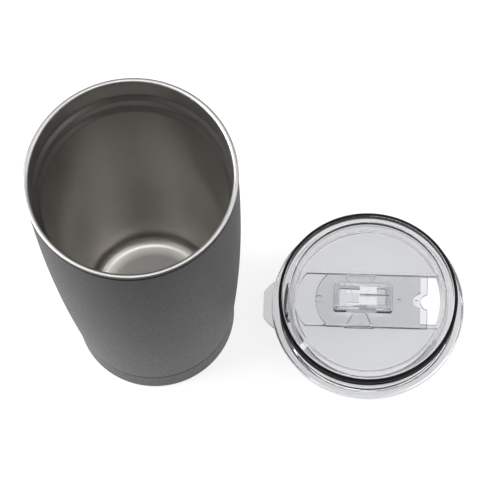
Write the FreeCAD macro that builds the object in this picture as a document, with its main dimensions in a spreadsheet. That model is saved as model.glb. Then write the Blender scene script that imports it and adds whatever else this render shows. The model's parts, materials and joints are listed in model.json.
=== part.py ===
import FreeCAD, Part
import math
import os
import re
import Sketcher

# An insulated steel tumbler and its clear press-in lid. The lid lies upside down beside the tumbler.
# Units are millimetres and degrees. The origin is the centre of the tumbler's base, +Z is up, and +X
# runs along the lid's slider, from the thumb tab towards the drinking opening.
# The lid's own pieces are drawn the right way up, with Z = 0 at the face that seats on the tumbler's
# lip, and one placement turns them over and lays them on the table.

DIMENSIONS = {
    # tumbler, outside
    "cup_height": 171.5,
    "shell_radius": 43.65,
    "shell_curve": 1480,  # radius of the long, gently bulging side
    "straight_from": 156,  # above this height the side is upright
    "steel": 0.7,
    "seam_height": 15.5,  # the base cap ends here
    "seam_groove": 0.5,
    "seam_edge": 0.2,  # bevel on each side of the groove
    "foot_radius": 36.65,
    "foot_round": 1.6,
    "neck_radius": 36.2,  # the shell's lower end, inside the base cap
    "neck_bottom": 5,
    "stamp_radius": 29,  # a ring stamped up into the base cap
    "stamp_width": 3,
    "stamp_rise": 0.6,
    # tumbler, inside
    "liner_wall": 0.6,
    "mouth_radius": 41.7,
    "lip_radius": 43.85,
    "lip_height": 2,
    "lip_round": 0.45,
    "mouth_round": 1.2,
    "lip_bevel": 0.2,
    "gap_height": 1.2,  # a shadow gap runs round the shell, just under the lip
    "gap_depth": 0.4,
    "ring_depth": 12.5,  # the first formed step, beside the seated lid's foot
    "second_ring_depth": 20.5,
    "ring_step": 1.4,
    "ring_slope": 2.8,
    "ring_round": 2,
    "liner_curve": 2500,
    "liner_foot_radius": 30.5,
    "liner_floor": 20.5,
    "liner_corner": 6,
    # vacuum space
    "bottom_height": 8,
    "bottom_radius": 35.5,
    "boss_radius": 6,
    "boss_rise": 1.4,
    "vent_radius": 0.6,
    "seal_radius": 3.4,
    "getter_place": 18,
    "getter_radius": 4,
    "getter_height": 2,
    "holder_wall": 0.3,
    "holder_length": 17,
    "holder_width": 5,
    "foil_gap": 0.5,
    "foil": 0.3,
    "foil_end": 5,  # the foil stops short of the wall's ends by this much
    # lid
    "flange_radius": 45.1,
    "flange_height": 5,
    "flange_round": 2.8,
    "rim_inner": 41.5,
    "recess_radius": 34.6,
    "plate_top": -5.8,
    "plate_under": -7.6,
    "plug_radius": 39.9,
    "plug_bottom": -14.2,
    "land_radius": 40.2,
    "land_height": 1.2,
    "groove_radius": 39.9,
    "groove_top": -8.1,
    "groove_bottom": -13.4,
    "well_radius": 34.5,
    "well_mouth": 36.6,
    "gasket_radius": 41.7,
    "gasket_play": 0.1,
    "rib_height": 1.6,  # two sealing ribs, one along each edge of the gasket
    "rib_depth": 0.35,
    "tab_reach": 49,
    "tab_tip": 8.5,
    "tab_root": 11.5,
    "tab_under": 0.8,
    "tab_thick": 3.2,
    # slider trough in the lid
    "trough_width": 25.4,
    "trough_wall": 0.8,
    "trough_round": 0.7,
    "trough_floor": -8,
    "trough_under": -10,
    "trough_left": 33.8,
    "trough_left_arc": 18.5,
    "trough_right_arc": 34,
    "opening_left": 24.4,
    "opening_width": 23.6,
    "opening_arc": 33.6,
    "straw_depth": 3.3,
    "straw_width": 7.6,
    "straw_arc": 4.2,
    "slot_left": 13.3,
    "slot_right": 7.9,
    "slot_width": 10,
    # slider
    "slider_left": 24.5,
    "slider_right": 27.7,
    "slider_width": 25,
    "slider_thick": 1.9,
    "slider_round": 0.4,
    "dimple_depth": 1.2,
    "slider_play": 0.2,
    "slider_left_arc": 17,
    "grip_middle": -3.75,
    "grip_end": 6.9,
    "grip_waist": 2.9,
    "grip_height": 3.2,
    "grip_arc": 34,
    "hollow_near": 5.3,  # the grip is hollow below, on both sides of the legs
    "hollow_far": 11.9,
    "hollow_near_half": 2.6,
    "hollow_far_half": 5.8,
    "hollow_height": 3.9,
    "leg_gap": 0.75,
    "leg_outer": 4.4,
    "leg_half_length": 4,
    "head_reach": 9.6,
    "head_thick": 3.4,
    # retainer under the trough, clipped on the slider's legs
    "box_left": 16.1,
    "box_right": 11.6,
    "box_half_width": 7,
    "box_plate": 1.2,
    "box_wall": 1.2,
    "box_height": 5.6,
    "box_corner": 1.6,
    "box_draft": 7,
    "box_hole_left": 10,
    "box_hole_right": 4.2,
    "tongue_half_width": 2.2,
    "tongue_tip": 4.3,
    # where the lid lies
    "lid_x": 99.4,
    "lid_y": 4.8,
}

doc = FreeCAD.newDocument("tumbler")
sheet = doc.addObject("Spreadsheet::Sheet", "dims")
for row, (alias, size) in enumerate(DIMENSIONS.items(), start=1):
    sheet.set(f"A{row}", alias)
    sheet.set(f"B{row}", str(size))
    sheet.setAlias(f"B{row}", alias)
doc.recompute()


def bound(formula):
    """A formula in the sheet's aliases, as an expression that any object of the document can use."""
    return re.sub(r"[a-z_]+", lambda word: f"dims.{word[0]}" if word[0] in DIMENSIONS else word[0], formula)


def value(formula):
    """What a formula in the sheet's aliases comes to."""
    return float(sheet.evalExpression(bound(formula)))


def new_body(label):
    body = doc.addObject("PartDesign::Body", label)
    body.Label = label
    return body


def new_sketch(body, name, plane, lift):
    """A sketch on one of the body's own origin planes, raised by the formula lift."""
    sketch = body.newObject("Sketcher::SketchObject", name)
    support = [feature for feature in body.Origin.OriginFeatures if feature.Role == plane]
    sketch.AttachmentSupport = [(support[0], "")]
    sketch.MapMode = "FlatFace"
    if lift:
        sketch.setExpression("AttachmentOffset.Base.z", bound(lift))
    return sketch


def constrain(sketch, kind, where, formula):
    number = sketch.addConstraint(Sketcher.Constraint(kind, *where, value(formula)))
    sketch.setExpression(f"Constraints[{number}]", bound(formula))


def arc_edge(start, end, radius):
    """The minor arc from start to end. It turns left when radius is positive, right when negative."""
    chord = (end - start).Length
    middle = (start + end) * 0.5
    sideways = FreeCAD.Vector(0, 0, 1).cross(end - start).normalize()
    reach = math.sqrt(max(radius**2 - chord**2 / 4, 0))
    centre = middle + sideways * math.copysign(reach, radius)
    first, last = (start, end) if radius > 0 else (end, start)
    circle = Part.Circle(centre, FreeCAD.Vector(0, 0, 1), abs(radius))
    angles = [math.atan2(point.y - centre.y, point.x - centre.x) for point in (first, last)]
    return Part.ArcOfCircle(circle, *angles)


def outline(body, name, plane, lift, corners):
    """A closed, fully constrained outline. A corner is (x, y), in formulas, and a third formula makes
    the edge that leaves the corner an arc of that radius: positive turns left, negative right."""
    sketch = new_sketch(body, name, plane, lift)
    spots = [FreeCAD.Vector(value(corner[0]), value(corner[1]), 0) for corner in corners]
    ends = []
    for index, corner in enumerate(corners):
        start, end = spots[index], spots[(index + 1) % len(spots)]
        radius = value(corner[2]) if len(corner) == 3 else None
        if radius is None:
            sketch.addGeometry(Part.LineSegment(start, end))
        else:
            sketch.addGeometry(arc_edge(start, end, radius))
        ends.append((2, 1) if radius is not None and radius < 0 else (1, 2))
    for index, (_, leave) in enumerate(ends):
        following = (index + 1) % len(ends)
        sketch.addConstraint(Sketcher.Constraint("Coincident", index, leave, following, ends[following][0]))
    for index, corner in enumerate(corners):
        arrive = ends[index][0]
        constrain(sketch, "DistanceX", (-1, 1, index, arrive), corner[0])
        constrain(sketch, "DistanceY", (-1, 1, index, arrive), corner[1])
        if len(corner) == 3:
            constrain(sketch, "Radius", (index,), corner[2].lstrip("-"))
    return sketch


def disc(body, name, lift, x, y, radius):
    """A circle on the XY plane."""
    sketch = new_sketch(body, name, "XY_Plane", lift)
    spot = FreeCAD.Vector(value(x), value(y), 0)
    sketch.addGeometry(Part.Circle(spot, FreeCAD.Vector(0, 0, 1), value(radius)))
    constrain(sketch, "DistanceX", (-1, 1, 0, 3), x)
    constrain(sketch, "DistanceY", (-1, 1, 0, 3), y)
    constrain(sketch, "Radius", (0,), radius)
    return sketch


def rounded_box(left, right, half_width, corner):
    """The corners of a rectangle with rounded corners, symmetric about the X axis."""
    return [
        (f"{left} + {corner}", f"-({half_width})"),
        (f"{right} - {corner}", f"-({half_width})", corner),
        (right, f"-({half_width}) + {corner}"),
        (right, f"{half_width} - {corner}", corner),
        (f"{right} - {corner}", half_width),
        (f"{left} + {corner}", half_width, corner),
        (left, f"{half_width} - {corner}"),
        (left, f"-({half_width}) + {corner}", corner),
    ]


def revolve(body, name, corners):
    """Turn a half section, whose corners are (radius, height), about the Z axis."""
    sketch = outline(body, f"{name}_section", "XZ_Plane", None, corners)
    turned = body.newObject("PartDesign::Revolution", name)
    turned.Profile = sketch
    turned.ReferenceAxis = (sketch, ["V_Axis"])
    turned.Angle = 360
    doc.recompute()
    return turned


def pad(body, name, sketch, length, downwards=False, draft=None):
    grown = body.newObject("PartDesign::Pad", name)
    grown.Profile = sketch
    grown.setExpression("Length", bound(length))
    grown.Reversed = downwards
    if draft:
        grown.setExpression("TaperAngle", f"-({bound(draft)})")
    doc.recompute()
    return grown


def pocket(body, name, sketch, depth, upwards=False, draft=None):
    """Cut the sketch's outline out of the body, below the sketch unless upwards is set."""
    before = body.Shape.Volume
    cut = body.newObject("PartDesign::Pocket", name)
    cut.Profile = sketch
    cut.setExpression("Length", bound(depth))
    cut.Reversed = upwards
    if draft:
        cut.setExpression("TaperAngle", f"-({bound(draft)})")
    doc.recompute()
    if not body.Shape.Volume < before:
        raise RuntimeError(f"{name} cuts nothing")
    return cut


def circles_at(shape, spots):
    """Names of the circular edges about the Z axis at each (radius, height)."""
    names = []
    for radius, height in spots:
        found = [
            f"Edge{number}"
            for number, edge in enumerate(shape.Edges, start=1)
            if isinstance(edge.Curve, Part.Circle)
            and abs(edge.Curve.Radius - value(radius)) < 0.001
            and abs(edge.Curve.Center.z - value(height)) < 0.001
        ]
        if not found:
            raise RuntimeError(f"no edge of radius {radius} at {height}")
        names += found
    return names


def edges_where(shape, test):
    """Names of the edges whose bounding box passes the test."""
    return [
        f"Edge{number}" for number, edge in enumerate(shape.Edges, start=1) if test(edge.BoundBox)
    ]


def level_edges(shape, height):
    """Names of the edges that lie flat at a height."""
    level = value(height)
    return edges_where(shape, lambda box: abs(box.ZMin - level) < 0.001 and abs(box.ZMax - level) < 0.001)


def fillet(body, name, radius, names):
    base = body.Tip
    rounded = body.newObject("PartDesign::Fillet", name)
    rounded.Base = (base, names)
    rounded.setExpression("Radius", bound(radius))
    doc.recompute()
    return rounded


LIP_UNDER = "(cup_height - lip_height)"
CAP_TOP = "(seam_height - seam_groove / 2)"
SHELL_EDGE = "(seam_height + seam_groove / 2)"


def side_radius(height, inset):
    """Radius of the long side at a height. It is one arc that runs upright into the straight top."""
    return f"(shell_radius - shell_curve + sqrt((shell_curve - {inset})^2 - (straight_from - {height})^2))"


def outer_shell():
    """The coated outer wall. Its lower end steps in, to fit inside the base cap."""
    body = new_body("outer_shell")
    foot = f"({SHELL_EDGE} + seam_edge)"
    revolve(body, "wall", [
        ("neck_radius - steel", "neck_bottom"),
        ("neck_radius", "neck_bottom"),
        ("neck_radius", SHELL_EDGE),
        (f"{side_radius(foot, '0')} - seam_edge", SHELL_EDGE),
        (side_radius(foot, "0"), foot, "shell_curve"),
        ("shell_radius", "straight_from"),
        ("shell_radius", f"{LIP_UNDER} - gap_height"),
        ("shell_radius - gap_depth", f"{LIP_UNDER} - gap_height + 0.2"),
        ("shell_radius - gap_depth", LIP_UNDER),
        ("shell_radius - steel", LIP_UNDER),
        ("shell_radius - steel", "straight_from", "-(shell_curve - steel)"),
        (side_radius(f"({foot} + 1)", "steel"), f"{foot} + 1"),
        ("neck_radius - steel", SHELL_EDGE),
    ])
    return body


def base_cap():
    """The pressed cap that closes the foot. It stands flat, with a ring stamped up into its face."""
    body = new_body("base_cap")
    cap_radius = f"({side_radius(SHELL_EDGE, '0')} - 0.02)"
    revolve(body, "cap", [
        ("0", "0"),
        ("stamp_radius - stamp_width", "0"),
        ("stamp_radius - stamp_width + stamp_rise", "stamp_rise"),
        ("stamp_radius - stamp_rise", "stamp_rise"),
        ("stamp_radius", "0"),
        ("foot_radius", "0"),
        (cap_radius, f"{CAP_TOP} - seam_edge"),
        (f"{cap_radius} - seam_edge", CAP_TOP),
        ("neck_radius", CAP_TOP),
        ("neck_radius", "3"),
        ("neck_radius - 1.6", "steel"),
        ("stamp_radius + 0.4", "steel"),
        ("stamp_radius - stamp_rise + 0.4", "steel + stamp_rise"),
        ("stamp_radius - stamp_width + stamp_rise - 0.4", "steel + stamp_rise"),
        ("stamp_radius - stamp_width - 0.4", "steel"),
        ("0", "steel"),
    ])
    fillet(body, "foot_edge", "foot_round", circles_at(body.Shape, [("foot_radius", "0")]))
    return body


# The liner steps in twice below the mouth, then narrows in one long arc down to its rounded corner.
TAPER_TOP = "(cup_height - second_ring_depth - ring_slope)"
TAPER_TOP_RADIUS = "(mouth_radius - 2 * ring_step)"
TAPER_FOOT = "(liner_floor + liner_corner)"


def liner_steps(offset):
    """Corners of the liner's two rings, from the top down, moved out by offset."""
    corners = []
    for ring, depth in enumerate(("ring_depth", "second_ring_depth")):
        radius = f"mouth_radius - {ring} * ring_step + {offset}"
        corners.append((radius, f"cup_height - {depth} - {offset} / 2"))
        corners.append((f"{radius} - ring_step", f"cup_height - {depth} - ring_slope - {offset} / 2"))
    return corners


def liner():
    """The bare inner wall, with the lip that joins it to the outer shell."""
    body = new_body("liner")
    inside = liner_steps("0")
    inside[-1] += ("-(liner_curve)",)
    revolve(body, "wall", [
        ("0", "liner_floor - liner_wall"),
        ("liner_foot_radius - liner_corner", "liner_floor - liner_wall", "liner_corner + liner_wall"),
        ("liner_foot_radius + liner_wall", TAPER_FOOT, "liner_curve + liner_wall"),
        *reversed(liner_steps("liner_wall")),
        ("mouth_radius + liner_wall", LIP_UNDER),
        ("lip_radius - lip_bevel", LIP_UNDER),
        ("lip_radius", f"{LIP_UNDER} + lip_bevel"),
        ("lip_radius", "cup_height"),
        ("mouth_radius", "cup_height"),
        *inside,
        ("liner_foot_radius", TAPER_FOOT, "-(liner_corner)"),
        ("liner_foot_radius - liner_corner", "liner_floor"),
        ("0", "liner_floor"),
    ])
    fillet(body, "lip_edge", "lip_round", circles_at(body.Shape, [("lip_radius", "cup_height")]))
    fillet(body, "mouth_edge", "mouth_round", circles_at(body.Shape, [("mouth_radius", "cup_height")]))
    for offset, side in (("0", "inside"), ("liner_wall", "outside")):
        fillet(body, f"ring_{side}", "ring_round", circles_at(body.Shape, liner_steps(offset)))
    return body


def reflector_foil():
    """The metal foil wrapped round the liner's long taper."""
    body = new_body("reflector_foil")
    slope = f"(({TAPER_TOP_RADIUS} - liner_foot_radius) / ({TAPER_TOP} - {TAPER_FOOT}))"
    low = f"(liner_foot_radius + liner_wall + foil_gap + foil_end * {slope})"
    high = f"({TAPER_TOP_RADIUS} + liner_wall + foil_gap - foil_end * {slope})"
    revolve(body, "wrap", [
        (low, f"{TAPER_FOOT} + foil_end"),
        (f"{low} + foil", f"{TAPER_FOOT} + foil_end", "liner_curve + foil"),
        (f"{high} + foil", f"{TAPER_TOP} - foil_end"),
        (high, f"{TAPER_TOP} - foil_end", "-(liner_curve)"),
    ])
    return body


def vacuum_bottom():
    """The disc that closes the outer wall. Its raised middle has the hole that air is drawn through."""
    body = new_body("vacuum_bottom")
    revolve(body, "disc", [
        ("vent_radius", "bottom_height + boss_rise"),
        ("boss_radius - boss_rise", "bottom_height + boss_rise"),
        ("boss_radius", "bottom_height"),
        ("bottom_radius - steel - 0.8", "bottom_height"),
        ("bottom_radius - steel", "bottom_height - 0.8"),
        ("bottom_radius - steel", "neck_bottom"),
        ("bottom_radius", "neck_bottom"),
        ("bottom_radius", "bottom_height - 0.4"),
        ("bottom_radius - 1.1", "bottom_height + steel"),
        ("boss_radius + 0.4", "bottom_height + steel"),
        ("boss_radius - boss_rise + 0.4", "bottom_height + boss_rise + steel"),
        ("vent_radius", "bottom_height + boss_rise + steel"),
    ])
    return body


def seal_pellet():
    """The solder glass that closes the hole, melted into the hollow below it."""
    body = new_body("seal_pellet")
    revolve(body, "bead", [
        ("0", "bottom_height + 0.5"),
        ("1.6", "bottom_height + 0.5"),
        ("seal_radius", "bottom_height + boss_rise"),
        ("vent_radius", "bottom_height + boss_rise"),
        ("vent_radius", "bottom_height + boss_rise + 0.5"),
        ("0", "bottom_height + boss_rise + 0.5"),
    ])
    return body


BOTTOM_TOP = "(bottom_height + steel)"


def getter_pill():
    """The pill that soaks up the last gas in the vacuum space."""
    body = new_body("getter_pill")
    circle = disc(body, "pill_outline", f"{BOTTOM_TOP} + holder_wall", "getter_place", "0", "getter_radius")
    pad(body, "pill", circle, "getter_height")
    return body


def getter_holder():
    """A strip welded to the bottom disc, with a shallow cup for the pill."""
    body = new_body("getter_holder")
    strip = outline(body, "strip_outline", "XY_Plane", BOTTOM_TOP, rounded_box(
        "(getter_place - holder_length / 2)", "(getter_place + holder_length / 2)", "(holder_width / 2)", "1"))
    pad(body, "strip", strip, "holder_wall")
    rim = disc(body, "cup_outline", BOTTOM_TOP, "getter_place", "0", "getter_radius + 2 * holder_wall")
    pad(body, "cup", rim, "holder_wall + getter_height * 0.6")
    hollow = disc(body, "cup_hollow", f"{BOTTOM_TOP} + holder_wall", "getter_place", "0", "getter_radius")
    pocket(body, "cup_inside", hollow, "getter_height", upwards=True)
    return body


def lid_body():
    """The clear moulding: a rounded flange, a plug with a gasket groove, a dished plate and a trough."""
    body = new_body("lid_body")
    tab = outline(body, "tab_outline", "XY_Plane", "tab_under", [
        ("-42", "-tab_root"),
        ("-44", "-tab_root"),
        ("-(tab_reach - 2.6)", "-(tab_tip + 0.9)"),
        ("-tab_reach", "-(tab_tip - 2.2)"),
        ("-tab_reach", "tab_tip - 2.2"),
        ("-(tab_reach - 2.6)", "tab_tip + 0.9"),
        ("-44", "tab_root"),
        ("-42", "tab_root"),
    ])
    pad(body, "tab", tab, "tab_thick")
    uprights = edges_where(body.Shape, lambda box: box.XMax < -45 and box.ZLength > 1)
    fillet(body, "tab_corners", "2.5", uprights)
    fillet(body, "tab_edges", "1", edges_where(body.Shape, lambda box: box.XMin < -42.5 and box.ZLength < 0.1))
    revolve(body, "section", [
        ("0", "plate_under"),
        ("well_radius", "plate_under"),
        ("well_mouth", "plug_bottom"),
        ("land_radius", "plug_bottom"),
        ("land_radius", "groove_bottom"),
        ("groove_radius", "groove_bottom"),
        ("groove_radius", "groove_top"),
        ("land_radius", "groove_top"),
        ("land_radius", "groove_top + land_height"),
        ("plug_radius", "groove_top + land_height + 0.6"),
        ("plug_radius", "0"),
        ("flange_radius - 0.5", "0", "0.5"),
        ("flange_radius", "0.5"),
        ("flange_radius", "flange_height - flange_round", "flange_round"),
        ("flange_radius - flange_round", "flange_height"),
        ("rim_inner", "flange_height"),
        ("recess_radius", "plate_top"),
        ("0", "plate_top"),
    ])
    fine = [("rim_inner", "flange_height"), ("well_mouth", "plug_bottom"), ("land_radius", "plug_bottom")]
    fillet(body, "fine_edges", "0.5", circles_at(body.Shape, fine))
    corners = [("recess_radius", "plate_top"), ("well_radius", "plate_under")]
    fillet(body, "plate_corners", "1.8", circles_at(body.Shape, corners))

    half = "(trough_width / 2 + trough_wall)"
    end_arc = "(trough_left_arc + trough_wall)"
    left = f"(trough_left_arc - trough_left - sqrt({end_arc}^2 - {half}^2))"
    right = f"sqrt((trough_right_arc + 1)^2 - {half}^2)"
    under = outline(body, "trough_outside_outline", "XY_Plane", "plate_top", [
        (left, f"-{half}"),
        (right, f"-{half}", "trough_right_arc + 1"),
        (right, half),
        (left, half, end_arc),
    ])
    pad(body, "trough_outside", under, "plate_top - trough_under", downwards=True)
    fillet(body, "trough_edges", "trough_round", level_edges(body.Shape, "trough_under"))

    half = "(trough_width / 2)"
    left = f"(trough_left_arc - trough_left - sqrt(trough_left_arc^2 - {half}^2))"
    right = f"sqrt(trough_right_arc^2 - {half}^2)"
    inside = outline(body, "trough_inside_outline", "XY_Plane", "trough_floor", [
        (left, f"-{half}"),
        (right, f"-{half}", "trough_right_arc"),
        (right, half),
        (left, half, "trough_left_arc"),
    ])
    pocket(body, "trough_inside", inside, "plate_top - trough_floor + 4", upwards=True)

    half = "(opening_width / 2)"
    straw = "(straw_width / 2)"
    right = f"sqrt(opening_arc^2 - {half}^2)"
    mouth = outline(body, "opening_outline", "XY_Plane", "trough_floor", [
        ("opening_left", f"-{half}"),
        (right, f"-{half}", "opening_arc"),
        (right, half),
        ("opening_left", half),
        ("opening_left", straw, "straw_arc"),
        ("opening_left - straw_depth", "0", "straw_arc"),
        ("opening_left", f"-{straw}"),
    ])
    pocket(body, "drinking_opening", mouth, "trough_floor - trough_under + 1")
    slot = outline(body, "slot_outline", "XY_Plane", "trough_floor", rounded_box(
        "(-slot_left)", "slot_right", "(slot_width / 2)", "1"))
    pocket(body, "leg_slot", slot, "trough_floor - trough_under + 1")
    return body


def lid_gasket():
    """The silicone band, stretched into its shallow groove. Its two ribs seal in the mouth."""
    body = new_body("lid_gasket")
    top = "(groove_top - gasket_play)"
    bottom = "(groove_bottom + gasket_play)"
    valley = "(gasket_radius - rib_depth)"
    revolve(body, "ring", [
        ("groove_radius + 0.02", bottom),
        ("gasket_radius", bottom),
        ("gasket_radius", f"{bottom} + rib_height"),
        (valley, f"{bottom} + rib_height + rib_depth"),
        (valley, f"{top} - rib_height - rib_depth"),
        ("gasket_radius", f"{top} - rib_height"),
        ("gasket_radius", top),
        ("groove_radius + 0.02", top),
    ])
    corners = [bottom, f"{bottom} + rib_height", f"{top} - rib_height", top]
    fillet(body, "rib_edges", "0.5", circles_at(body.Shape, [("gasket_radius", height) for height in corners]))
    return body


SLIDER_UNDER = "(trough_floor + slider_play)"
SLIDER_TOP = f"({SLIDER_UNDER} + slider_thick)"
BOX_TOP = "(trough_under - slider_play)"
HEAD_TOP = f"({BOX_TOP} - box_plate - slider_play)"


def slider_plate():
    """The plate that covers the drinking opening, its waisted grip and its two snap legs."""
    body = new_body("slider_plate")
    half = "(slider_width / 2)"
    straw = "(straw_width / 2)"
    left = f"(slider_left_arc - slider_left - sqrt(slider_left_arc^2 - {half}^2))"
    plate = outline(body, "plate_outline", "XY_Plane", SLIDER_UNDER, [
        (left, f"-{half}"),
        ("slider_right", f"-{half}"),
        ("slider_right", f"-{straw}", "-straw_arc"),
        ("slider_right - straw_depth", "0", "-straw_arc"),
        ("slider_right", straw),
        ("slider_right", half),
        (left, half, "slider_left_arc"),
    ])
    pad(body, "plate", plate, "slider_thick")
    fillet(body, "plate_edges", "slider_round", level_edges(body.Shape, SLIDER_TOP))
    grip = outline(body, "grip_outline", "XY_Plane", f"{SLIDER_UNDER} + 0.5", [
        ("grip_middle - grip_end", f"-{half}"),
        ("grip_middle + grip_end", f"-{half}", "-grip_arc"),
        ("grip_middle + grip_waist", "0", "-grip_arc"),
        ("grip_middle + grip_end", half),
        ("grip_middle - grip_end", half, "-grip_arc"),
        ("grip_middle - grip_waist", "0", "-grip_arc"),
    ])
    pad(body, "grip", grip, "grip_height + slider_thick - 0.5")
    for name, side in (("front", "-"), ("back", "")):
        hollow = outline(body, f"{name}_hollow_outline", "XY_Plane", SLIDER_UNDER, [
            ("grip_middle - hollow_near_half", f"{side}hollow_near"),
            ("grip_middle - hollow_far_half", f"{side}hollow_far"),
            ("grip_middle + hollow_far_half", f"{side}hollow_far"),
            ("grip_middle + hollow_near_half", f"{side}hollow_near"),
        ])
        pocket(body, f"{name}_hollow", hollow, "hollow_height", upwards=True)
    for name, inner, outer in (("front", "-leg_outer", "-leg_gap"), ("back", "leg_gap", "leg_outer")):
        leg = outline(body, f"{name}_leg_outline", "XY_Plane", f"{SLIDER_UNDER} + 0.5", [
            ("-leg_half_length", inner),
            ("leg_half_length", inner),
            ("leg_half_length", outer),
            ("-leg_half_length", outer),
        ])
        pad(body, f"{name}_leg", leg, f"{SLIDER_UNDER} + 0.5 - {HEAD_TOP} + head_thick", downwards=True)
        head = outline(body, f"{name}_head_outline", "XY_Plane", HEAD_TOP, [
            ("-leg_half_length", inner),
            ("head_reach", inner),
            ("head_reach", outer),
            ("-leg_half_length", outer),
        ])
        pad(body, f"{name}_head", head, "head_thick", downwards=True)
    for name, place, radius in (("left", "-22.9", "1.7"), ("middle", "14.7", "0.9"), ("right", "22.7", "0.9")):
        mark = disc(body, f"{name}_dimple_outline", SLIDER_UNDER, place, "0", radius)
        pocket(body, f"{name}_dimple", mark, "dimple_depth", upwards=True)
    return body


def slider_retainer():
    """The open box under the trough. The legs' heads hook over its plate and a tongue locks them."""
    body = new_body("slider_retainer")
    outside = outline(body, "box_outline", "XY_Plane", BOX_TOP, rounded_box(
        "(-box_left)", "box_right", "box_half_width", "box_corner"))
    pad(body, "box", outside, "box_height", downwards=True, draft="box_draft")
    inside = outline(body, "hollow_outline", "XY_Plane", f"{BOX_TOP} - box_plate", rounded_box(
        "(-box_left + box_wall)", "(box_right - box_wall)", "(box_half_width - box_wall)", "(box_corner * 0.6)"))
    pocket(body, "hollow", inside, "box_height", draft="box_draft")
    hole = outline(body, "hole_outline", "XY_Plane", BOX_TOP, [
        ("-box_hole_left", "-slot_width / 2"),
        ("box_hole_right", "-slot_width / 2"),
        ("box_hole_right", "slot_width / 2"),
        ("-box_hole_left", "slot_width / 2"),
        ("-box_hole_left", "tongue_half_width"),
        ("-tongue_tip", "tongue_half_width"),
        ("-tongue_tip", "-tongue_half_width"),
        ("-box_hole_left", "-tongue_half_width"),
    ])
    pocket(body, "leg_hole", hole, "box_plate + 0.2")
    return body


TUMBLER_PIECES = [
    outer_shell(), base_cap(), liner(), reflector_foil(), vacuum_bottom(), seal_pellet(), getter_pill(),
    getter_holder(),
]
LID_PIECES = [lid_body(), lid_gasket(), slider_plate(), slider_retainer()]

# The lid is turned over about the X axis and rests on the crest of its flange.
for piece in LID_PIECES:
    piece.Placement = FreeCAD.Placement(FreeCAD.Vector(), FreeCAD.Rotation(FreeCAD.Vector(1, 0, 0), 180))
    piece.setExpression("Placement.Base.x", bound("lid_x"))
    piece.setExpression("Placement.Base.y", bound("lid_y"))
    piece.setExpression("Placement.Base.z", bound("flange_height"))
doc.recompute()

for thing in doc.Objects:
    if "Invalid" in thing.State or "Error" in thing.State:
        raise RuntimeError(f"{thing.Name} failed: {thing.State}")
    if thing.TypeId == "Sketcher::SketchObject" and not thing.FullyConstrained:
        raise RuntimeError(f"{thing.Name} is not fully constrained")
for piece in TUMBLER_PIECES + LID_PIECES:
    if piece.Shape.isNull() or not piece.Shape.isValid() or len(piece.Shape.Solids) != 1:
        raise RuntimeError(f"{piece.Label} has no single valid solid")

os.makedirs("parts", exist_ok=True)
for piece in TUMBLER_PIECES + LID_PIECES:
    piece.Shape.exportStep(f"parts/{piece.Label}.step")
    box = piece.Shape.BoundBox
    print(f"{piece.Label}: {piece.Shape.Volume:.0f} mm3, X {box.XMin:.1f} to {box.XMax:.1f}, "
          f"Y {box.YMin:.1f} to {box.YMax:.1f}, Z {box.ZMin:.1f} to {box.ZMax:.1f}")
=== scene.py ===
import json
import math

import bmesh
import bpy
from mathutils import Matrix, Vector


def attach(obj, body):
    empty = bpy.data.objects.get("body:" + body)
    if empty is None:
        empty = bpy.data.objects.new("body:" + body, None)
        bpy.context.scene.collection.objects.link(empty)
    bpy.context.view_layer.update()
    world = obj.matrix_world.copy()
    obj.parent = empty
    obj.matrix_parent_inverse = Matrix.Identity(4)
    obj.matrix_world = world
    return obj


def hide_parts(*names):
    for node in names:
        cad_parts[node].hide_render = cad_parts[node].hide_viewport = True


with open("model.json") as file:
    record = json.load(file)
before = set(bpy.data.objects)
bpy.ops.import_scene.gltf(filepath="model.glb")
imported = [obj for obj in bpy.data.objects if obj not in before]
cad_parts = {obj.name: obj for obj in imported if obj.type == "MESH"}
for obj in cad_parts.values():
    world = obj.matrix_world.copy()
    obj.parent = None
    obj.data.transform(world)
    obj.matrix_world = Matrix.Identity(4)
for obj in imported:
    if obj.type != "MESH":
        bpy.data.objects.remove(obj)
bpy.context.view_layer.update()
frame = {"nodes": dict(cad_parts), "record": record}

# An insulated tumbler and its clear lid, which lies upside down beside it.
# The scene is in metres. Outlines, and the sizes below, are in millimetres.

nodes = frame["nodes"]
record = frame["record"]
body_of_node = {
    node: body
    for body, members in record["behaviour"]["bodies"].items()
    for node in members
}

# ---------------------------------------------------------------- sizes

SHELL_RADIUS = 43.65
SIDE_CURVE = 1480  # the radius of the side's long arc
STRAIGHT_FROM = 156  # the side is upright above this height
STEEL = 0.7
CAP_TOP = 15.25
SHELL_EDGE = 15.75  # the seam is between the cap's top and the shell's edge
NECK_RADIUS = 36.2  # the shell's inner neck, which the cap is pressed over
RING_INNER = 26  # a ring is stamped up into the cap's face
RING_OUTER = 29
RING_DEPTH = 0.6

LIP_TOP = 171.5
LIP_UNDER = 169.5
LIP_RADIUS = 43.85
GAP_HEIGHT = 1.2  # a shadow gap runs round the shell, just under the lip
GAP_DEPTH = 0.4

MOUTH = 41.7
LINER_WALL = 0.6
LINER_CURVE = 2500  # the radius of the long taper's arc
STEP_DEPTH = 1.4  # how far each of the two formed steps goes in
STEP_ROUNDING = 2

LID_AXIS = (0.0994, 0.0048, 0.0)  # where the lid's axis stands, in metres
PLUG_RADIUS = 39.87  # the inside of the gasket, which clings to the lid's plug
GASKET_LOW = 13.2
GASKET_HIGH = 18.3
RIB_HEIGHT = 1.6
RIB_DEPTH = 0.35

# ---------------------------------------------------------------- shader helpers


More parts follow.
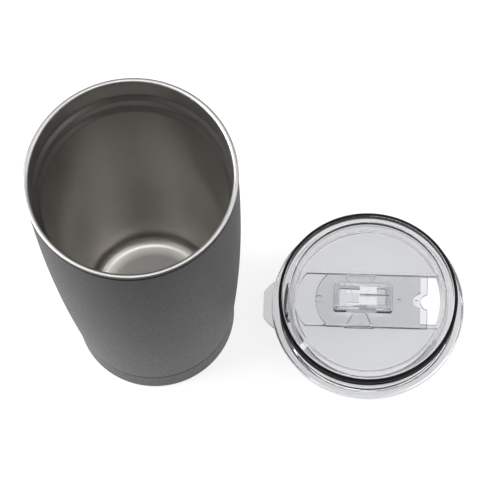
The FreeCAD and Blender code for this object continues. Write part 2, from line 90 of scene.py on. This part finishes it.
class Shader:
    """A material's node tree, with short ways to add and link nodes."""

    def __init__(self, name):
        self.material = bpy.data.materials.new(name)
        self.material.use_nodes = True
        self.tree = self.material.node_tree
        self.tree.nodes.clear()
        self.output = self.tree.nodes.new("ShaderNodeOutputMaterial")
        self.place = self.add("ShaderNodeTexCoord").outputs["Object"]

    def add(self, kind, **settings):
        node = self.tree.nodes.new(kind)
        for setting, wanted in settings.items():
            setattr(node, setting, wanted)
        return node

    def link(self, source, target):
        self.tree.links.new(source, target)

    def feed(self, socket, source):
        """Link source when it is a socket, or else set it as the input's own value."""
        if isinstance(source, bpy.types.NodeSocket):
            self.link(source, socket)
        else:
            socket.default_value = source

    def math(self, operation, *inputs):
        node = self.add("ShaderNodeMath", operation=operation)
        for socket, source in zip(node.inputs, inputs):
            self.feed(socket, source)
        return node.outputs[0]

    def xyz(self):
        """A point's coordinates, in metres from the object's origin."""
        parts = self.add("ShaderNodeSeparateXYZ")
        self.link(self.place, parts.inputs[0])
        return tuple(parts.outputs)

    def noise(self, scale, detail=2.0, roughness=0.5, vector=None):
        node = self.add("ShaderNodeTexNoise")
        node.inputs["Scale"].default_value = scale
        node.inputs["Detail"].default_value = detail
        node.inputs["Roughness"].default_value = roughness
        self.link(vector or self.place, node.inputs["Vector"])
        return node.outputs["Fac"]

    def ramp(self, source, *stops):
        """Map a value to a colour. A stop is (position, grey or (red, green, blue))."""
        node = self.add("ShaderNodeValToRGB")
        elements = node.color_ramp.elements
        while len(elements) < len(stops):
            elements.new(0.5)
        for element, (position, colour) in zip(elements, stops):
            element.position = position
            element.color = rgb(colour)
        self.link(source, node.inputs["Fac"])
        return node.outputs["Color"]

    def spread(self, source, low, high, start=0.0, end=1.0):
        """Map a value from start..end to low..high, and hold it at the ends beyond."""
        node = self.add("ShaderNodeMapRange")
        self.link(source, node.inputs["Value"])
        for name, wanted in (("From Min", start), ("From Max", end), ("To Min", low), ("To Max", high)):
            node.inputs[name].default_value = wanted
        return node.outputs["Result"]

    def mix(self, share, first, second, blend="MIX"):
        node = self.add("ShaderNodeMix", data_type="RGBA", blend_type=blend)
        self.feed(node.inputs["Factor"], share)
        self.feed(node.inputs["A"], rgb(first))
        self.feed(node.inputs["B"], rgb(second))
        return node.outputs["Result"]

    def bump(self, height, distance, strength=1.0):
        node = self.add("ShaderNodeBump")
        node.inputs["Distance"].default_value = distance
        node.inputs["Strength"].default_value = strength
        self.link(height, node.inputs["Height"])
        return node.outputs["Normal"]

    def principled(self, **inputs):
        """The main shader. Inputs are named by their sockets, with _ for a space."""
        node = self.add("ShaderNodeBsdfPrincipled")
        for name, source in inputs.items():
            self.feed(node.inputs[name.replace("_", " ")], source)
        return node.outputs["BSDF"]

    def finish(self, surface):
        self.link(surface, self.output.inputs["Surface"])
        return self.material


def rgb(colour):
    """A colour as four numbers. A grey is one number, and a socket passes through."""
    if isinstance(colour, bpy.types.NodeSocket):
        return colour
    if isinstance(colour, (int, float)):
        colour = (colour,) * 3
    return (*colour, 1.0)


# ---------------------------------------------------------------- materials


def powder_coat():
    """Charcoal powder coat: a fine orange peel with lighter specks, and painted shade that darkens it a
    little towards the top.

    Painted shade makes it nearly black in its two narrow gaps, the seam over the cap and the one under the
    lip.
    """
    s = Shader("charcoal_coat")
    grain = s.noise(2600, detail=3)
    peel = s.noise(1150, detail=2)
    clouds = s.noise(60, detail=2)
    specks = s.ramp(grain, (0.35, (0.026, 0.026, 0.027)), (0.55, (0.050, 0.050, 0.051)), (0.72, 0.14))
    shade = s.mix(0.60, specks, s.ramp(peel, (0.38, 0.018), (0.50, 0.050), (0.64, 0.118)))
    shade = s.mix(0.20, shade, s.ramp(clouds, (0.3, 0.038), (0.7, 0.060)))
    z = s.xyz()[2]
    # Painted shade: the coat's colour is darkened towards the top, where less light falls on it.
    shade = s.mix(1.0, shade, s.spread(z, 1.12, 0.58, 0.02, 0.165), blend="MULTIPLY")
    # Painted shade: the coat is near-black, with less specular, in the seam over the cap and in the groove
    # under the lip, where shadow falls.
    over_cap = s.spread(z, 0.0, 1.0, (CAP_TOP - 0.2) / 1000, CAP_TOP / 1000)
    below_edge = s.spread(z, 1.0, 0.0, SHELL_EDGE / 1000, (SHELL_EDGE + 0.25) / 1000)
    gap_foot = LIP_UNDER - GAP_HEIGHT
    below_lip = s.spread(z, 0.0, 1.0, (gap_foot - 0.3) / 1000, gap_foot / 1000)
    gap_painted_shade = s.math("MAXIMUM", s.math("MULTIPLY", over_cap, below_edge), below_lip)
    return s.finish(s.principled(
        Base_Color=s.mix(s.math("MULTIPLY", gap_painted_shade, 0.92), shade, 0.002),
        Roughness=s.spread(grain, 0.48, 0.64),
        Specular_IOR_Level=s.spread(gap_painted_shade, 0.5, 0.1),
        Normal=s.bump(s.math("ADD", grain, s.math("MULTIPLY", peel, 1.6)), 0.00007),
    ))


def turned_steel():
    """Satin steel, drawn round the axis, with painted shade that darkens it towards the mouth and over the
    middle of the floor.

    Painted shade makes the lip's outer edge near-black and not metallic, for the shadow under the lip.
    """
    s = Shader("satin_steel")
    x, y, z = s.xyz()
    radius = s.math("SQRT", s.math("ADD", s.math("MULTIPLY", x, x), s.math("MULTIPLY", y, y)))
    around = s.math("MULTIPLY", s.math("ARCTAN2", y, x), 0.004)
    turned = s.add("ShaderNodeCombineXYZ")
    for socket, source in zip(turned.inputs, (radius, around, z)):
        s.link(source, socket)
    lines = s.noise(3500, detail=3, vector=turned.outputs[0])
    blotches = s.noise(35, detail=3)
    lip = s.spread(z, 0.0, 1.0, 0.1690, 0.1697)
    # Painted shade: below its top, the lip's outermost edge is near-black and not metallic, for the shadow
    # under the lip.
    below_top = s.spread(z, 1.0, 0.0, 0.1709, 0.1711)
    outermost = s.spread(radius, 0.0, 1.0, 0.0430, 0.0431)
    lip_edge_painted_shade = s.math("MULTIPLY", below_top, outermost)
    drawn = s.ramp(lines, (0.3, (0.50, 0.485, 0.465)), (0.7, (0.60, 0.585, 0.56)))
    cloudy = s.ramp(blotches, (0.3, (0.50, 0.485, 0.46)), (0.7, (0.58, 0.57, 0.55)))
    satin = s.mix(0.5, drawn, cloudy)
    # Painted shade: the steel is lightened low down and darkened towards the mouth.
    satin = s.mix(1.0, satin, s.spread(z, 1.36, 0.78, 0.05, 0.15), blend="MULTIPLY")
    # Painted shade: the floor's colour is darkened towards its middle.
    floor_painted_shade = s.spread(radius, 0.22, 0.60, 0.021, 0.027)
    on_floor = s.spread(z, 1.0, 0.0, 0.0215, 0.0300)
    satin = s.mix(on_floor, satin, floor_painted_shade, blend="MULTIPLY")
    bare = s.mix(lip, satin, (0.40, 0.395, 0.385))
    rough = s.math("ADD", s.spread(lines, 0.28, 0.38), s.spread(blotches, -0.03, 0.03))
    return s.finish(s.principled(
        Base_Color=s.mix(lip_edge_painted_shade, bare, 0.004),
        Metallic=s.spread(lip_edge_painted_shade, 1.0, 0.0),
        Roughness=s.math("ADD", rough, s.math("MULTIPLY", lip, 0.10)),
        Specular_IOR_Level=0.1,
        Normal=s.bump(lines, 0.000006),
    ))


def clear_plastic(name, tint):
    """Clear moulded plastic, with a faint cool tint. It lets most of the lamps' light through."""
    s = Shader(name)
    haze = s.noise(120, detail=2)
    body = s.principled(
        Base_Color=rgb((tint, tint * 1.005, tint * 1.025)),
        Roughness=s.spread(haze, 0.01, 0.04),
        IOR=1.49,
        Transmission_Weight=1.0,
    )
    lamp_side = s.add("ShaderNodeBsdfTransparent")
    lamp_side.inputs["Color"].default_value = (0.86, 0.87, 0.89, 1.0)
    path = s.add("ShaderNodeLightPath")
    both = s.add("ShaderNodeMixShader")
    s.link(path.outputs["Is Shadow Ray"], both.inputs[0])
    s.link(body, both.inputs[1])
    s.link(lamp_side.outputs[0], both.inputs[2])
    return s.finish(both.outputs[0])


def silicone():
    """Black silicone with a soft sheen."""
    s = Shader("black_silicone")
    grain = s.noise(1800, detail=2)
    return s.finish(s.principled(
        Base_Color=s.ramp(grain, (0.3, 0.003), (0.7, 0.006)),
        Roughness=s.spread(grain, 0.42, 0.55),
        Specular_IOR_Level=0.12,
        Normal=s.bump(grain, 0.00002),
    ))


def plain_metal(name, dark, light, roughness, scale):
    """A bare metal for the sealed inner pieces."""
    s = Shader(name)
    grain = s.noise(scale, detail=3)
    return s.finish(s.principled(
        Base_Color=s.ramp(grain, (0.3, dark), (0.7, light)),
        Metallic=1.0,
        Roughness=s.spread(grain, roughness - 0.06, roughness + 0.06),
        Normal=s.bump(grain, 0.00003),
    ))


def solder_glass():
    """Dark brown glass, for the bead that closes the vacuum."""
    s = Shader("solder_glass")
    grain = s.noise(900, detail=2)
    return s.finish(s.principled(
        Base_Color=s.ramp(grain, (0.3, (0.16, 0.12, 0.08)), (0.7, (0.24, 0.19, 0.13))),
        Roughness=s.spread(grain, 0.12, 0.25),
    ))


FINISHES = {
    "outer_shell": powder_coat(),
    "liner": turned_steel(),
    "reflector_foil": plain_metal("copper_foil", (0.70, 0.38, 0.26), (0.82, 0.48, 0.34), 0.30, 300),
    "vacuum_bottom": plain_metal("plain_steel", 0.48, 0.58, 0.40, 800),
    "seal_pellet": solder_glass(),
    "getter_pill": plain_metal("getter_metal", 0.16, 0.24, 0.65, 2500),
    "lid_body": clear_plastic("clear_moulding", 0.67),
    "slider_plate": clear_plastic("clear_slider", 0.87),
    "lid_gasket": silicone(),
}
FINISHES["base_cap"] = FINISHES["outer_shell"]
FINISHES["getter_holder"] = FINISHES["vacuum_bottom"]
FINISHES["slider_retainer"] = FINISHES["slider_plate"]

for name, finish in FINISHES.items():
    nodes[name].data.materials.clear()
    nodes[name].data.materials.append(finish)

# ---------------------------------------------------------------- turned pieces


def bow(start, end, radius, steps=16):
    """The points between start and end, along an arc of that radius which bulges away from the axis."""
    start, end = Vector(start), Vector(end)
    chord = end - start
    inwards = Vector((-abs(chord.y), chord.x if chord.y > 0 else -chord.x)).normalized()
    centre = (start + end) / 2 + inwards * math.sqrt(radius ** 2 - (chord.length / 2) ** 2)
    directions = [(start - centre).slerp(end - centre, step / steps) for step in range(1, steps)]
    return [tuple(centre + direction * radius) for direction in directions]


def rounded(corners, steps=7):
    """The points of a closed outline. A corner is (radius, height), or has its rounding as a third number."""
    points = []
    for index, corner in enumerate(corners):
        here = Vector(corner[:2])
        if len(corner) == 2:
            points.append(here)
            continue
        before = (Vector(corners[index - 1][:2]) - here).normalized()
        after = (Vector(corners[(index + 1) % len(corners)][:2]) - here).normalized()
        half_angle = before.angle(after) / 2
        reach = corner[2] / math.tan(half_angle)
        centre = here + (before + after).normalized() * corner[2] / math.sin(half_angle)
        first = here + before * reach - centre
        last = here + after * reach - centre
        points += [centre + first.slerp(last, step / steps) * corner[2] for step in range(steps + 1)]
    return points


def turned(node, corners, axis=(0.0, 0.0, 0.0)):
    """A round piece that stands for a CAD node: an outline turned once about an upright axis."""
    shape = bmesh.new()
    outline = [shape.verts.new((radius / 1000, 0, height / 1000)) for radius, height in rounded(corners)]
    edges = [shape.edges.new(pair) for pair in zip(outline, outline[1:])]
    starts_on_axis = corners[0][0] == 0
    if not starts_on_axis:
        edges.append(shape.edges.new((outline[-1], outline[0])))
    bmesh.ops.spin(shape, geom=outline + edges, cent=(0, 0, 0), axis=(0, 0, 1),
                   angle=2 * math.pi, steps=320, use_merge=True)
    bmesh.ops.remove_doubles(shape, verts=shape.verts, dist=1e-7)
    bmesh.ops.recalc_face_normals(shape, faces=shape.faces)
    for face in shape.faces:
        face.smooth = True
    mesh = bpy.data.meshes.new(f"{node}_turned")
    shape.to_mesh(mesh)
    shape.free()
    mesh.materials.append(FINISHES[node])
    piece = bpy.data.objects.new(f"{node}_turned", mesh)
    bpy.context.scene.collection.objects.link(piece)
    piece.location = axis
    piece.modifiers.new("even_shading", "WEIGHTED_NORMAL")
    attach(piece, body_of_node[node])
    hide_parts(node)


def side_radius(height):
    """The coated wall's radius: upright near the top, and one long arc below."""
    return SHELL_RADIUS - SIDE_CURVE + math.sqrt(SIDE_CURVE ** 2 - (STRAIGHT_FROM - height) ** 2)


def outer_shell():
    """The coated wall, turned in at its foot to a short neck inside the cap."""
    foot = (side_radius(SHELL_EDGE), SHELL_EDGE)
    shoulder = (SHELL_RADIUS, STRAIGHT_FROM)
    inner_foot = (foot[0] - STEEL, SHELL_EDGE + 1)
    inner_shoulder = (SHELL_RADIUS - STEEL, STRAIGHT_FROM)
    gap_radius = SHELL_RADIUS - GAP_DEPTH
    turned("outer_shell", [
        (NECK_RADIUS - STEEL, 5),
        (NECK_RADIUS, 5),
        (NECK_RADIUS, SHELL_EDGE),
        (*foot, 0.25),
        *bow(foot, shoulder, SIDE_CURVE),
        shoulder,
        (SHELL_RADIUS, LIP_UNDER - GAP_HEIGHT, 0.15),
        (gap_radius, LIP_UNDER - GAP_HEIGHT + 0.2, 0.1),
        (gap_radius, LIP_UNDER),
        (SHELL_RADIUS - STEEL, LIP_UNDER),
        inner_shoulder,
        *bow(inner_shoulder, inner_foot, SIDE_CURVE),
        inner_foot,
        (NECK_RADIUS - STEEL, SHELL_EDGE),
    ])


def base_cap():
    """The pressed cap, with its rounded foot and the ring stamped up into its face."""
    turned("base_cap", [
        (0, 0),
        (RING_INNER, 0, 0.5),
        (RING_INNER + RING_DEPTH, RING_DEPTH, 0.5),
        (RING_OUTER - RING_DEPTH, RING_DEPTH, 0.5),
        (RING_OUTER, 0, 0.5),
        (36.65, 0, 1.6),
        (side_radius(SHELL_EDGE) - 0.02, CAP_TOP, 0.25),
        (NECK_RADIUS, CAP_TOP),
        (NECK_RADIUS, 3),
        (NECK_RADIUS - 1.6, STEEL),
        (RING_OUTER + 0.4, STEEL),
        (RING_OUTER - 0.2, STEEL + RING_DEPTH),
        (RING_INNER + 0.2, STEEL + RING_DEPTH),
        (RING_INNER - 0.4, STEEL),
        (0, STEEL),
    ])


def liner():
    """The bare inner wall: a rolled lip, two formed steps, a long taper and a rounded floor corner."""
    steps = [
        (MOUTH, 159),
        (MOUTH - STEP_DEPTH, 156.2),
        (MOUTH - STEP_DEPTH, 151),
        (MOUTH - 2 * STEP_DEPTH, 148.2),
    ]
    taper_foot = (30.5, 26.5)
    floor_radius, floor_height = 29.94, 20.5
    outside = [(radius + LINER_WALL, height - LINER_WALL / 2) for radius, height in steps]
    outside_foot = (taper_foot[0] + LINER_WALL, taper_foot[1])
    turned("liner", [
        (0, floor_height - LINER_WALL),
        (floor_radius + LINER_WALL, floor_height - LINER_WALL, 6 + LINER_WALL),
        *bow(outside_foot, outside[-1], LINER_CURVE),
        *((*corner, STEP_ROUNDING) for corner in reversed(outside)),
        (MOUTH + LINER_WALL, LIP_UNDER),
        (LIP_RADIUS, LIP_UNDER, 0.2),
        (LIP_RADIUS, LIP_TOP, 0.65),
        (MOUTH, LIP_TOP, 1.1),
        *((*corner, STEP_ROUNDING) for corner in steps),
        *bow(steps[-1], taper_foot, LINER_CURVE),
        (floor_radius, floor_height, 5.2),
        (0, floor_height),
    ])


def lid_gasket():
    """The silicone band round the lid's plug, as wide as the mouth, with a rib along each edge."""
    valley = MOUTH - RIB_DEPTH
    turned("lid_gasket", [
        (PLUG_RADIUS, GASKET_LOW),
        (MOUTH, GASKET_LOW, 0.5),
        (MOUTH, GASKET_LOW + RIB_HEIGHT, 0.3),
        (valley, GASKET_LOW + RIB_HEIGHT + RIB_DEPTH, 0.3),
        (valley, GASKET_HIGH - RIB_HEIGHT - RIB_DEPTH, 0.3),
        (MOUTH, GASKET_HIGH - RIB_HEIGHT, 0.3),
        (MOUTH, GASKET_HIGH, 0.5),
        (PLUG_RADIUS, GASKET_HIGH),
    ], axis=LID_AXIS)


outer_shell()
base_cap()
liner()
lid_gasket()

# ---------------------------------------------------------------- floor, light and camera


def studio_floor():
    """A pale floor that glows round the object, and fades out with distance and towards the front."""
    mesh = bpy.data.meshes.new("floor")
    half, below = 4.0, -0.0003
    corners = [(-half, -half, below), (half, -half, below), (half, half, below), (-half, half, below)]
    mesh.from_pydata(corners, [], [(0, 1, 2, 3)])
    floor = bpy.data.objects.new("floor", mesh)
    bpy.context.scene.collection.objects.link(floor)
    floor.location.x = 0.04
    floor.location.y = 0.035
    s = Shader("pale_floor")
    distance = s.add("ShaderNodeVectorMath", operation="LENGTH")
    s.link(s.place, distance.inputs[0])
    glow = s.spread(distance.outputs["Value"], 0.76, 0.0, 0.17, 0.70)
    y = s.xyz()[1]
    front = s.spread(y, 0.0, 1.0, -0.22, -0.12)
    mesh.materials.append(s.finish(s.principled(
        Base_Color=rgb(0.24),
        Roughness=0.9,
        Emission_Color=rgb(1.0),
        Emission_Strength=s.math("MULTIPLY", glow, front),
    )))


def softbox(name, place, target, width, height, power):
    """A rectangular lamp at place, facing target."""
    lamp = bpy.data.lights.new(name, "AREA")
    lamp.shape = "RECTANGLE"
    lamp.size, lamp.size_y = width, height
    lamp.energy = power
    light = bpy.data.objects.new(name, lamp)
    light.location = place
    light.rotation_euler = (Vector(target) - Vector(place)).to_track_quat("-Z", "Y").to_euler()
    bpy.context.scene.collection.objects.link(light)


def studio_world():
    """A lit ceiling over dark walls."""
    world = bpy.data.worlds.new("studio")
    bpy.context.scene.world = world
    world.use_nodes = True
    tree = world.node_tree
    place = tree.nodes.new("ShaderNodeTexCoord")
    parts = tree.nodes.new("ShaderNodeSeparateXYZ")
    ramp = tree.nodes.new("ShaderNodeValToRGB")
    tree.links.new(place.outputs["Generated"], parts.inputs[0])
    tree.links.new(parts.outputs["Z"], ramp.inputs["Fac"])
    walls, ceiling = ramp.color_ramp.elements
    walls.position, walls.color = 0.64, (0.04, 0.04, 0.044, 1.0)
    ceiling.position, ceiling.color = 0.92, (0.52, 0.52, 0.52, 1.0)
    background = tree.nodes["Background"]
    tree.links.new(ramp.outputs["Color"], background.inputs["Color"])
    background.inputs["Strength"].default_value = 1.0


def photo_camera():
    """Looks down at the tumbler from the front, from a little over a metre, with a long lens."""
    place = (0.0838, -0.3517, 1.0446)
    degrees_left = 6.40
    degrees_down = 69.55
    degrees_rolled = -4.38
    data = bpy.data.cameras.new("camera")
    data.sensor_width = 36
    data.lens = 171.47
    camera = bpy.data.objects.new("camera", data)
    heading = Matrix.Rotation(math.radians(degrees_left), 4, "Z")
    tilt = Matrix.Rotation(math.radians(90 - degrees_down), 4, "X")
    roll = Matrix.Rotation(math.radians(degrees_rolled), 4, "Z")
    camera.matrix_world = Matrix.Translation(place) @ heading @ tilt @ roll
    bpy.context.scene.collection.objects.link(camera)
    bpy.context.scene.camera = camera


studio_floor()
softbox("left_low", (-1.2, -0.1, 0.75), (0, 0, 0.08), 1.0, 1.6, 40)
softbox("right_low", (1.3, 0.2, 0.75), (0.1, 0, 0.08), 0.9, 1.4, 9)
softbox("left_high", (-0.55, 0.1, 1.5), (0, 0, 0.08), 0.7, 1.4, 9)
softbox("right_high", (0.55, 0.1, 1.5), (0, 0, 0.08), 0.7, 1.4, 9)
studio_world()
photo_camera()
bpy.context.scene.view_settings.view_transform = "Standard"
